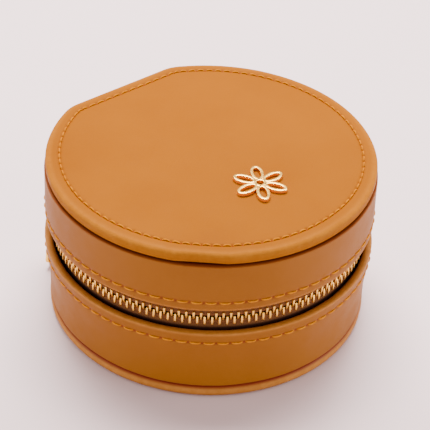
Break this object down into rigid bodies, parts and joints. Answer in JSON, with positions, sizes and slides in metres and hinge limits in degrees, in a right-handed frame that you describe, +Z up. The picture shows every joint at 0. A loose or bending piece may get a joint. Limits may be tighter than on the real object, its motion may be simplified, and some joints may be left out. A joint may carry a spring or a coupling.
{
  "type": "leather jewellery case",
  "caption": "Small round leather travel jewellery case with a hinged, zipped lid, a mirror, ring rolls, two compartments and a gilt openwork ornament.",
  "frame": {"origin": "centre of the round outline, on the flat underside that the case stands on", "axes": "+Z up through the lid; -Y towards the front, opposite the flat back; +Y towards the hinge; +X to the right seen from the front"},
  "size_m": [0.105, 0.1036, 0.0585],
  "materials": {
    "tan_leather": "smooth semi-matt calf grain",
    "fibre_board": "raw grey-brown fibre board",
    "suede_lining": "napped microsuede",
    "zip_tape": "herringbone woven tape",
    "brass": "polished",
    "gilt_metal": "mirror polished gilt",
    "mirror_glass": "silvered"
  },
  "bodies": {
    "base": {"base_panel": "tan_leather", "base_board": "fibre_board", "base_band": "tan_leather", "base_wall_board": "fibre_board", "base_lining": "suede_lining", "ring_roll_1": "suede_lining", "ring_roll_2": "suede_lining", "ring_roll_3": "suede_lining", "ring_roll_4": "suede_lining", "long_divider": "suede_lining", "cross_divider": "suede_lining", "lower_zip_tape": "zip_tape", "lower_zip_teeth": "brass", "lower_top_stop": "brass", "bottom_stop": "brass", "hinge_leather": "tan_leather", "hinge_lining": "suede_lining"},
    "lid": {"lid_panel": "tan_leather", "lid_board": "fibre_board", "lid_band": "tan_leather", "lid_wall_board": "fibre_board", "lid_lining": "suede_lining", "mirror": "mirror_glass", "mirror_frame": "suede_lining", "ornament": "gilt_metal", "ornament_washer_left": "brass", "ornament_washer_right": "brass", "upper_zip_tape": "zip_tape", "upper_zip_teeth": "brass", "upper_top_stop": "brass"},
    "slider": {"zip_slider": "brass"},
    "ring": {"pull_ring": "brass"},
    "tab": {"pull_tab": "brass"}
  },
  "joints": [
    {"name": "lid_hinge", "type": "hinge", "parent": "base", "child": "lid", "pos_m": [0, 0.0474, 0.0312], "axis": [-1, 0, 0], "range_deg": [0, 110], "deforming": ["hinge_leather", "hinge_lining"]},
    {"name": "slider_travel", "type": "hinge", "parent": "base", "child": "slider", "pos_m": [0, 0, 0.0312], "axis": [0, 0, 1], "range_deg": [0, 287], "deforming": ["lower_zip_tape", "lower_zip_teeth", "lower_top_stop", "upper_zip_tape", "upper_zip_teeth", "upper_top_stop"]},
    {"name": "ring_turn", "type": "hinge", "parent": "slider", "child": "ring", "pos_m": [-0.0278, 0.04815, 0.0312], "axis": [0.866, 0.5, 0], "range_deg": [0, 80]},
    {"name": "tab_swing", "type": "hinge", "parent": "ring", "child": "tab", "pos_m": [-0.02768, 0.04794, 0.02721], "axis": [-0.4991, 0.8644, -0.061], "range_deg": [-35, 30]}
  ]
}
